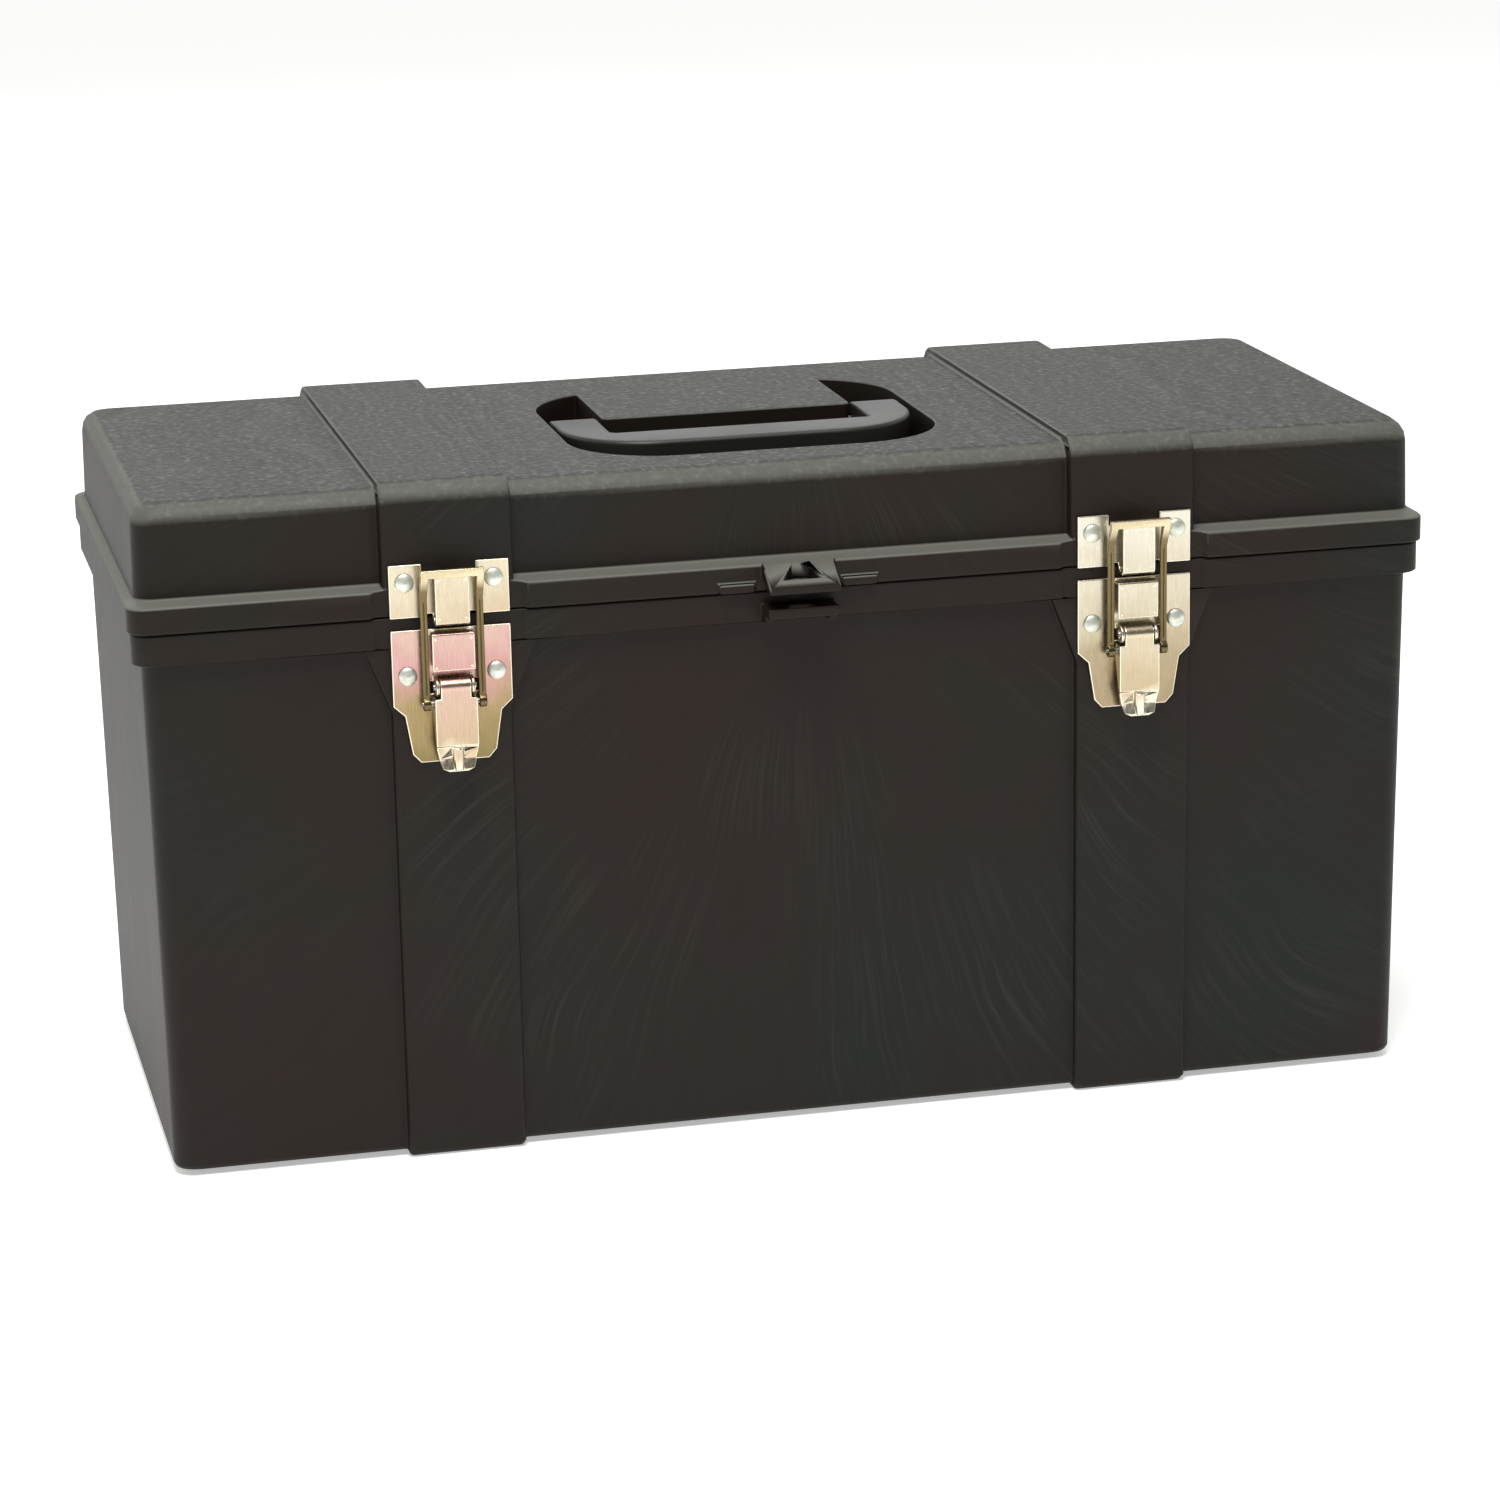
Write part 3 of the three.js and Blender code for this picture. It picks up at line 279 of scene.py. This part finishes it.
def pin_tree():
    """Geometry Nodes for pins along X on the points of a mesh, each with rounded ends."""
    tree = bpy.data.node_groups.new("pins on points", "GeometryNodeTree")
    face = tree.interface
    face.new_socket("Geometry", in_out="INPUT", socket_type="NodeSocketGeometry")
    for name in ("Radius", "Length"):
        face.new_socket(name, in_out="INPUT", socket_type="NodeSocketFloat")
    face.new_socket("Material", in_out="INPUT", socket_type="NodeSocketMaterial")
    face.new_socket("Geometry", in_out="OUTPUT", socket_type="NodeSocketGeometry")
    given = add(tree, "NodeGroupInput").outputs
    line = add(tree, "GeometryNodeCurvePrimitiveLine", {"Start": (0, 0, 0), "End": (1, 0, 0)}).outputs[0]
    line = add(tree, "GeometryNodeResampleCurve", {"Curve": line, "Count": PIN_RINGS}).outputs[0]
    along = add(tree, "GeometryNodeSplineParameter").outputs["Factor"]
    # The rings crowd towards the ends: the place runs from -1 to 1 as a sine.
    turn = maths(tree, "MULTIPLY", maths(tree, "SUBTRACT", along, 0.5), math.pi)
    spot = maths(tree, "SINE", turn)
    half = maths(tree, "MULTIPLY", given["Length"], 0.5)
    at = add(tree, "ShaderNodeCombineXYZ", {0: maths(tree, "MULTIPLY", spot, half)}).outputs[0]
    line = add(tree, "GeometryNodeSetPosition", {"Geometry": line, "Position": at}).outputs[0]
    # The end rounds off over a third of the radius.
    left = maths(tree, "SUBTRACT", half, maths(tree, "ABSOLUTE", maths(tree, "MULTIPLY", spot, half)))
    rounding = maths(tree, "MULTIPLY", given["Radius"], PIN_END_ROUND)
    share = maths(tree, "MINIMUM", maths(tree, "DIVIDE", left, rounding), 1.0)
    drop = maths(tree, "SUBTRACT", 1.0, share)
    lost = maths(tree, "MULTIPLY", maths(tree, "POWER", drop, 2.0), PIN_END_ROUND)
    size = maths(tree, "MULTIPLY", given["Radius"], maths(tree, "SUBTRACT", 1.0, lost))
    circle = add(tree, "GeometryNodeCurvePrimitiveCircle",
                 {"Resolution": PIN_SIDES, "Radius": 1.0}).outputs[0]
    line = add(tree, "GeometryNodeSetCurveRadius", {"Curve": line, "Radius": size}).outputs[0]
    rod = add(tree, "GeometryNodeCurveToMesh", {"Curve": line, "Profile Curve": circle, "Fill Caps": True})
    if "Scale" in rod.inputs:
        tree.links.new(size, rod.inputs["Scale"])
    placed = add(tree, "GeometryNodeInstanceOnPoints",
                 {"Points": given["Geometry"], "Instance": rod.outputs[0]})
    real = add(tree, "GeometryNodeRealizeInstances", {"Geometry": placed.outputs[0]}).outputs[0]
    out = add(tree, "GeometryNodeSetMaterial", {"Geometry": real, "Material": given["Material"]}).outputs[0]
    add(tree, "NodeGroupOutput", {0: out})
    return tree


def made_by(tree, piece_name, points, values):
    """Runs a Geometry Nodes tree on a mesh of points and keeps the result as a plain mesh."""
    mesh = bpy.data.meshes.new(piece_name)
    mesh.from_pydata([tuple(p) for p in points], [], [])
    piece = bpy.data.objects.new(piece_name, mesh)
    bpy.context.collection.objects.link(piece)
    modifier = piece.modifiers.new(tree.name, "NODES")
    modifier.node_group = tree
    for item in tree.interface.items_tree:
        if item.in_out == "INPUT" and item.name in values:
            modifier[item.identifier] = values[item.name]
    done = bpy.data.meshes.new_from_object(piece.evaluated_get(bpy.context.evaluated_depsgraph_get()))
    piece.modifiers.clear()
    done.name = piece_name
    piece.data = done
    return finish_shading(piece, 40)


def drawn_steel():
    """Plain drawn steel rod: grey, with fine marks, drawn 1 mm apart so that they show."""
    made, tree, shader, place = new_material("drawn steel rod")
    stretched = add(tree, "ShaderNodeMapping",
                    {"Vector": place.outputs["Object"], "Scale": (900, 90, 90)}).outputs[0]
    marks = add(tree, "ShaderNodeTexNoise", {"Vector": stretched, "Scale": 1.0, "Detail": 3.0}).outputs[0]
    shade = ramp(tree, marks, [(0.3, colour("#84847f")), (0.7, colour("#a6a6a2"))])
    tree.links.new(shade, shader.inputs["Base Color"])
    rough = add(tree, "ShaderNodeMapRange", {0: marks, 1: 0.3, 2: 0.7, 3: 0.42, 4: 0.26}).outputs[0]
    tree.links.new(rough, shader.inputs["Roughness"])
    bump = add(tree, "ShaderNodeBump", {"Height": marks, "Strength": 0.15, "Distance": 0.05 * MM})
    tree.links.new(bump.outputs[0], shader.inputs["Normal"])
    shader.inputs["Metallic"].default_value = 1.0
    return made


def pins(nodes, piece_name, body_name):
    """Replaces like pins along X, which ride on one body, by one mesh."""
    corners = [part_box(n) for n in nodes]
    middles = [(Vector(low) + Vector(high)) / 2 for low, high in corners]
    low, high = corners[0]
    values = {"Radius": (high[2] - low[2]) / 2, "Length": high[0] - low[0], "Material": steel}
    piece = made_by(pin_shape, piece_name, middles, values)
    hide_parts(*nodes)
    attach(piece, body_name)
    return piece


steel = drawn_steel()
pin_shape = pin_tree()
pins(["hinge_pin_" + s for s in SIDES], "hinge_pins", "body")

# ---- Lid shell ----
# The upper half, moulded in the same foam: a crown with a grained top, a flange that sits on the
# body's rim, bands that continue the body's, and a recess for the handle.

lid_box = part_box("lid_shell")
CROWN_FOOT = lid_box[1][2] - 22 * MM  # the pebble starts above here, on the crown
LID_GATE_HEIGHT = lid_box[1][2] + 60 * MM  # the lid's streaks fan out from above its middle
lid_foam = foam_polypropylene("structural-foam polypropylene, grained top", LID_GATE_HEIGHT, CROWN_FOOT)
lid = rounded_copy("lid_shell", "lid_cover", 1.0 * MM, cuts=MIDDLE_CUTS + RIVET_CUTS)
wear(lid, lid_foam)
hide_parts("lid_shell")
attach(lid, "lid")

# ---- Handle pins ----
# Short steel rods that carry the handle between the platform and the recess's wall.

pins(["handle_pin_" + s for s in SIDES], "handle_pins", "lid")

# ---- Carry handle ----
# A solid moulded bow, smoother than the foam, that folds flat into the lid's recess.


def moulded_plastic(name, dark, pale, grain_mm, rough):
    """Solid polypropylene, injection moulded against a lightly blasted mould: an even dark face
    with a fine grain and slow changes in gloss."""
    made, tree, shader, place = new_material(name)
    at = place.outputs["Object"]
    grain = add(tree, "ShaderNodeTexNoise",
                {"Vector": at, "Scale": 1 / (grain_mm * MM), "Detail": 2.0}).outputs[0]
    slow = add(tree, "ShaderNodeTexNoise", {"Vector": at, "Scale": 22.0, "Detail": 3.0}).outputs[0]
    shade = ramp(tree, slow, [(0.35, colour(dark)), (0.68, colour(pale))])
    tree.links.new(shade, shader.inputs["Base Color"])
    gloss = add(tree, "ShaderNodeMapRange",
                {0: slow, 1: 0.3, 2: 0.7, 3: rough + 0.06, 4: rough - 0.06}).outputs[0]
    tree.links.new(gloss, shader.inputs["Roughness"])
    bump = add(tree, "ShaderNodeBump", {"Height": grain, "Strength": 0.3, "Distance": 0.08 * MM})
    tree.links.new(bump.outputs[0], shader.inputs["Normal"])
    shader.inputs["IOR"].default_value = 1.49
    return made


handle = rounded_copy("carry_handle", "folding_handle", 0.9 * MM)
wear(handle, moulded_plastic("moulded polypropylene, handle", "#1b1a18", "#262522", 0.7, 0.46))
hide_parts("carry_handle")
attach(handle, "handle")

# ---- Lift-out tray ----
# A thin-walled moulded tray with a long bin, four small ones and a grip on the divider between.

tray = rounded_copy("lift_out_tray", "tray", 0.6 * MM)
wear(tray, moulded_plastic("moulded polypropylene, tray", "#302e2b", "#3a3834", 1.0, 0.5))
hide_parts("lift_out_tray")
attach(tray, "tray")

# ---- Draw latches: stamped parts ----
# Keeper, base, lever and bail are stamped from 1.2 mm steel strip, then zinc plated and yellow
# passivated, which leaves pink and green bands over a pale brass colour.

STAMP_EDGE = 0.42 * MM
PANEL_BORDER = 1.1 * MM
PANEL_STEP = 0.35 * MM
SMALLEST_PANEL = 90 * MM * MM


def pressed_panels(shape):
    """Sets the middle of each large rectangular front face back by one step, as the press does."""
    fronts = [
        f for f in shape.faces
        if f.normal.y < -0.98 and len(f.verts) == 4 and f.calc_area() > SMALLEST_PANEL
    ]
    bmesh.ops.inset_individual(shape, faces=fronts, thickness=PANEL_BORDER, use_even_offset=True)
    bmesh.ops.inset_individual(shape, faces=fronts, thickness=PANEL_STEP, depth=-PANEL_STEP,
                               use_even_offset=True)


def yellow_zinc(name, foot, head, tints, drifting=0.4):
    """Yellow-passivated zinc on stamped steel: a pale brass metal whose thin film drifts between
    straw, rose and olive from its foot to its head. Its rolling lines are 0.6 mm apart, coarser
    than real ones so that they show."""
    made, tree, shader, place = new_material(name)
    at = place.outputs["Object"]
    height = add(tree, "ShaderNodeSeparateXYZ", {0: at}).outputs[2]
    level = add(tree, "ShaderNodeMapRange", {0: height, 1: foot, 2: head}).outputs[0]
    drift = add(tree, "ShaderNodeTexNoise",
                {"Vector": at, "Scale": 60.0, "Detail": 2.0, "Distortion": 0.4}).outputs[0]
    mixed = maths(tree, "ADD", level, maths(tree, "MULTIPLY", maths(tree, "SUBTRACT", drift, 0.5), drifting))
    film = ramp(tree, mixed, [(share, colour(shade)) for share, shade in tints])
    tree.links.new(film, shader.inputs["Base Color"])
    rolled = add(tree, "ShaderNodeMapping", {"Vector": at, "Scale": (1600, 1600, 120)}).outputs[0]
    lines = add(tree, "ShaderNodeTexNoise", {"Vector": rolled, "Scale": 1.0, "Detail": 2.0}).outputs[0]
    rough = add(tree, "ShaderNodeMapRange", {0: lines, 1: 0.3, 2: 0.7, 3: 0.24, 4: 0.36}).outputs[0]
    tree.links.new(rough, shader.inputs["Roughness"])
    bump = add(tree, "ShaderNodeBump", {"Height": lines, "Strength": 0.12, "Distance": 0.04 * MM})
    tree.links.new(bump.outputs[0], shader.inputs["Normal"])
    shader.inputs["Metallic"].default_value = 1.0
    return made


# The film's colour from the latch's foot, 0, to its head, 1.
# Each lever's pale first stop, at its foot, is a painted highlight on the curled finger tip.
FILM = {
    "left": {
        "keeper": [(0.70, "#cbb89c"), (0.95, "#dbd0b6")],
        "base": [(0.05, "#85764f"), (0.30, "#a08c66"), (0.46, "#c79a95"), (0.66, "#cfb0a4")],
        "lever": [(0.03, "#e4dcc4"), (0.14, "#c0a88c"), (0.36, "#cbae9c")],
    },
    "right": {
        "keeper": [(0.70, "#d3cab4"), (0.95, "#e4decd")],
        "base": [(0.05, "#a29074"), (0.30, "#ac9d80"), (0.48, "#cabfa6"), (0.68, "#d6cdb7")],
        "lever": [(0.03, "#e8e2cd"), (0.14, "#c0ad8e"), (0.36, "#cfc1a6")],
    },
}
# The bail's legs lie back in shade and are painted dark brown for it, and its crossbar, out in the light,
# pale: painted shade and painted light over one zinc film.
BAIL_SHADE_AND_LIGHT_FILM = [(0.10, "#66593e"), (0.88, "#7e6e4d"), (0.94, "#d8c9a6")]
# The rounded edges of keeper, base and lever get a near-white zinc: a painted highlight along the stamped
# rims.
EDGE_HIGHLIGHT_FOOT, EDGE_HIGHLIGHT_HEAD = 0.15, 0.24  # heights a little past the latches' own
painted_edge_highlight = yellow_zinc("zinc with a painted highlight on the stamped edges", EDGE_HIGHLIGHT_FOOT, EDGE_HIGHLIGHT_HEAD,
                        [(0.0, "#f4ead0"), (1.0, "#fbf4e0")])
for side in SIDES:
    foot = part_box("latch_lever_" + side)[0][2]
    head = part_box("latch_keeper_" + side)[1][2]
    for part, body_name in (
        ("keeper", "lid"), ("base", "body"), ("lever", "lever_" + side), ("bail", "bail_" + side),
    ):
        tints = FILM[side].get(part, BAIL_SHADE_AND_LIGHT_FILM)
        drifting = 0.3 if part in FILM[side] else 0.04
        zinc = yellow_zinc(f"yellow-passivated zinc on steel, {side} {part}", foot, head, tints, drifting)
        node = f"latch_{part}_{side}"
        stamped = rounded_copy(node, f"stamped_{part}_{side}", STAMP_EDGE,
                               press=pressed_panels, edge_material=1)
        wear(stamped, zinc, None if part == "bail" else painted_edge_highlight)
        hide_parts(node)
        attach(stamped, body_name)

# ---- Latch pins ----
# The lever turns on a rod through the base's ears, and carries a thinner rod for the bail.

pins(["lever_pin_" + s for s in SIDES], "lever_pins", "body")
for side in SIDES:
    pins(["bail_pin_" + side], "bail_rod_" + side, "lever_" + side)

# ---- Rivets ----
# Aluminium rivets with domed heads hold each keeper to the lid and each base to the body.

RIVET_RINGS = 18
RIVET_SIDES = 32


def rivet_tree():
    """Geometry Nodes for rivets on points: a domed head towards -Y, a shank and a flat tail."""
    tree = bpy.data.node_groups.new("rivets on points", "GeometryNodeTree")
    face = tree.interface
    face.new_socket("Geometry", in_out="INPUT", socket_type="NodeSocketGeometry")
    for name in ("Head Radius", "Head Height", "Shank Radius", "Length", "Tail Radius", "Tail Height"):
        face.new_socket(name, in_out="INPUT", socket_type="NodeSocketFloat")
    face.new_socket("Material", in_out="INPUT", socket_type="NodeSocketMaterial")
    face.new_socket("Geometry", in_out="OUTPUT", socket_type="NodeSocketGeometry")
    given = add(tree, "NodeGroupInput").outputs
    circle = add(tree, "GeometryNodeCurvePrimitiveCircle",
                 {"Resolution": RIVET_SIDES, "Radius": 1.0}).outputs[0]

    def turned(start, end, radius_at):
        """A round solid along Y between two places, its radius a function of the share from 0 to 1."""
        line = add(tree, "GeometryNodeCurvePrimitiveLine", {"Start": (0, 0, 0), "End": (0, 1, 0)}).outputs[0]
        line = add(tree, "GeometryNodeResampleCurve", {"Curve": line, "Count": RIVET_RINGS}).outputs[0]
        along = add(tree, "GeometryNodeSplineParameter").outputs["Factor"]
        share = maths(tree, "SINE", maths(tree, "MULTIPLY", along, math.pi / 2))
        y = maths(tree, "ADD", start, maths(tree, "MULTIPLY", share, maths(tree, "SUBTRACT", end, start)))
        at = add(tree, "ShaderNodeCombineXYZ", {1: y}).outputs[0]
        line = add(tree, "GeometryNodeSetPosition", {"Geometry": line, "Position": at}).outputs[0]
        size = radius_at(share)
        line = add(tree, "GeometryNodeSetCurveRadius", {"Curve": line, "Radius": size}).outputs[0]
        solid = add(tree, "GeometryNodeCurveToMesh",
                    {"Curve": line, "Profile Curve": circle, "Fill Caps": True})
        if "Scale" in solid.inputs:
            tree.links.new(size, solid.inputs["Scale"])
        return solid.outputs[0]

    def dome(share):
        """The head's radius, from the seat to a blunt crown."""
        flat = maths(tree, "SUBTRACT", 1.0001, maths(tree, "POWER", share, 2.6))
        return maths(tree, "MULTIPLY", given["Head Radius"], maths(tree, "POWER", flat, 0.42))

    head = turned(0.0, maths(tree, "MULTIPLY", given["Head Height"], -1.0), dome)
    shank = turned(maths(tree, "MULTIPLY", given["Head Height"], -0.2), given["Length"],
                   lambda share: given["Shank Radius"])
    tail = turned(maths(tree, "SUBTRACT", given["Length"], given["Tail Height"]), given["Length"],
                  lambda share: given["Tail Radius"])
    whole = add(tree, "GeometryNodeJoinGeometry")
    for part in (head, shank, tail):
        tree.links.new(part, whole.inputs[0])
    placed = add(tree, "GeometryNodeInstanceOnPoints",
                 {"Points": given["Geometry"], "Instance": whole.outputs[0]})
    real = add(tree, "GeometryNodeRealizeInstances", {"Geometry": placed.outputs[0]}).outputs[0]
    out = add(tree, "GeometryNodeSetMaterial", {"Geometry": real, "Material": given["Material"]}).outputs[0]
    add(tree, "NodeGroupOutput", {0: out})
    return tree


def bright_aluminium():
    """Rolled aluminium, upset in a die: pale and satin, with a slight grey bloom."""
    made, tree, shader, place = new_material("upset aluminium")
    bloom = add(tree, "ShaderNodeTexNoise",
                {"Vector": place.outputs["Object"], "Scale": 420.0, "Detail": 3.0}).outputs[0]
    shade = ramp(tree, bloom, [(0.35, colour("#d2d5c8")), (0.6, colour("#e8ebdd"))])
    tree.links.new(shade, shader.inputs["Base Color"])
    rough = add(tree, "ShaderNodeMapRange", {0: bloom, 1: 0.3, 2: 0.7, 3: 0.56, 4: 0.46}).outputs[0]
    tree.links.new(rough, shader.inputs["Roughness"])
    shader.inputs["Metallic"].default_value = 1.0
    return made


aluminium = bright_aluminium()
rivet_shape = rivet_tree()
HEAD_HEIGHT = 1.8 * MM
for part, body_name in (("keeper", "lid"), ("base", "body")):
    nodes = [f"{part}_rivet_{side}_{hand}" for side in SIDES for hand in "ab"]
    corners = [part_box(n) for n in nodes]
    seats = [
        ((low[0] + high[0]) / 2, low[1] + HEAD_HEIGHT, (low[2] + high[2]) / 2)
        for low, high in corners
    ]
    low, high = corners[0]
    values = {
        "Head Radius": (high[2] - low[2]) / 2,
        "Head Height": HEAD_HEIGHT,
        "Shank Radius": 2 * MM,
        "Length": high[1] - low[1] - HEAD_HEIGHT,
        "Tail Radius": 3.3 * MM,
        "Tail Height": 1.2 * MM,
        "Material": aluminium,
    }
    rivets = made_by(rivet_shape, part + "_rivets", seats, values)
    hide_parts(*nodes)
    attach(rivets, body_name)

# ---- Floor, light and camera ----
# A plain pale floor, one large soft light from above and ahead, a fill from the left and one from behind.

FLOOR_SIZE = 24.0
floor_mesh = bpy.data.meshes.new("floor")
half = FLOOR_SIZE / 2
floor_corners = [(-half, -half, 0), (half, -half, 0), (half, half, 0), (-half, half, 0)]
floor_mesh.from_pydata(floor_corners, [], [(0, 1, 2, 3)])
floor = bpy.data.objects.new("floor", floor_mesh)
bpy.context.collection.objects.link(floor)
paper, _, paper_shader, _ = new_material("white paper sweep")
paper_shader.inputs["Base Color"].default_value = colour("#f6f6f4")
paper_shader.inputs["Roughness"].default_value = 0.9
paper_shader.inputs["Emission Color"].default_value = (1, 1, 1, 1)
paper_shader.inputs["Emission Strength"].default_value = 0.42
floor_mesh.materials.append(paper)


def soft_light(name, place, aim, size, watts):
    """A square area light, turned from its place towards its aim."""
    lamp = bpy.data.lights.new(name, "AREA")
    lamp.shape = "SQUARE"
    lamp.size = size
    lamp.energy = watts
    held = bpy.data.objects.new(name, lamp)
    held.location = place
    held.rotation_euler = (Vector(aim) - Vector(place)).to_track_quat("-Z", "Y").to_euler()
    bpy.context.collection.objects.link(held)


soft_light("key", (-0.25, -0.75, 1.9), (0, 0, 0.15), 0.7, 32)
soft_light("side", (-1.5, 0.9, 0.7), (-0.2, 0, 0.12), 1.0, 1.5)
soft_light("back", (0.2, 2.0, 1.8), (0, 0, 0.15), 2.0, 16)

# The room is white behind the box and above it, and dimmer in front of it.
world = bpy.data.worlds.new("studio")
world.use_nodes = True
room = world.node_tree
bearing = add(room, "ShaderNodeTexCoord").outputs["Generated"]
ahead = add(room, "ShaderNodeSeparateXYZ", {0: bearing}).outputs[1]
glow = add(room, "ShaderNodeMapRange", {0: ahead, 1: -0.7, 2: 0.1, 3: 0.12, 4: 0.74}).outputs[0]
sky = room.nodes["Background"]
sky.inputs["Color"].default_value = (1, 1, 1, 1)
room.links.new(glow, sky.inputs["Strength"])
bpy.context.scene.world = world
bpy.context.scene.view_settings.view_transform = "Standard"

AZIMUTH = math.radians(-13.035)
ELEVATION = math.radians(15.401)
ROLL = math.radians(-1.165)
DISTANCE = 1.915
LENS_SHARE = 4556 / 1500  # focal length over the frame's width
SENSOR_MM = 36
TARGET = Vector((0.017, 0.051, 0.108))

back = Vector((
    math.sin(AZIMUTH) * math.cos(ELEVATION),
    -math.cos(AZIMUTH) * math.cos(ELEVATION),
    math.sin(ELEVATION),
))
right = (-back).cross(Vector((0, 0, 1))).normalized()
up = right.cross(-back)
across = math.cos(ROLL) * right + math.sin(ROLL) * up
above = math.cos(ROLL) * up - math.sin(ROLL) * right
lens = bpy.data.cameras.new("camera")
lens.sensor_width = SENSOR_MM
lens.lens = SENSOR_MM * LENS_SHARE
lens.clip_end = 100
camera = bpy.data.objects.new("camera", lens)
turned_by = Matrix((across, above, back)).transposed().to_4x4()
camera.matrix_world = Matrix.Translation(TARGET + back * DISTANCE) @ turned_by
bpy.context.collection.objects.link(camera)
bpy.context.scene.camera = camera
